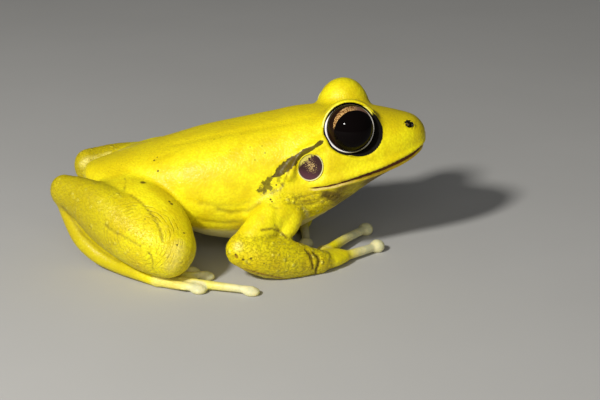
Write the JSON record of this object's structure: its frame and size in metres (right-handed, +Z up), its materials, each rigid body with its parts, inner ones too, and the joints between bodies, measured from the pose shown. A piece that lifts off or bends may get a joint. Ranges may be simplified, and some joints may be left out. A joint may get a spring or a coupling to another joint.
{
  "type": "stony creek frog",
  "caption": "Life-size frog in yellow breeding colours, sitting on folded hind legs with its head raised, big dark eyes, round eardrums and padded fingers and toes.",
  "frame": {"origin": "centre of the frog's bounding box on the floor that it sits on", "axes": "+X the way the frog faces, +Y its left side, +Z up"},
  "size_m": [0.0448, 0.0312, 0.0206],
  "materials": {
    "skin": "lemon-yellow frog skin, finely granular with a soft damp sheen",
    "pale_skin": "smooth cream skin of the throat, hands and feet",
    "eye": "wet, clear and glossy, with a black pupil and a gold-brown iris",
    "eardrum": "thin brown membrane with golden speckles"
  },
  "bodies": {
    "root": {"torso": "skin", "head": "skin", "lower_jaw": "pale_skin", "eye_right": "eye", "eardrum_right": "eardrum", "upper_arm_right": "skin", "forearm_right": "skin", "hand_right": "pale_skin", "thigh_right": "skin", "shank_right": "skin", "foot_right": "pale_skin", "eye_left": "eye", "eardrum_left": "eardrum", "upper_arm_left": "skin", "forearm_left": "skin", "hand_left": "pale_skin", "thigh_left": "skin", "shank_left": "skin", "foot_left": "pale_skin"}
  },
  "joints": []
}
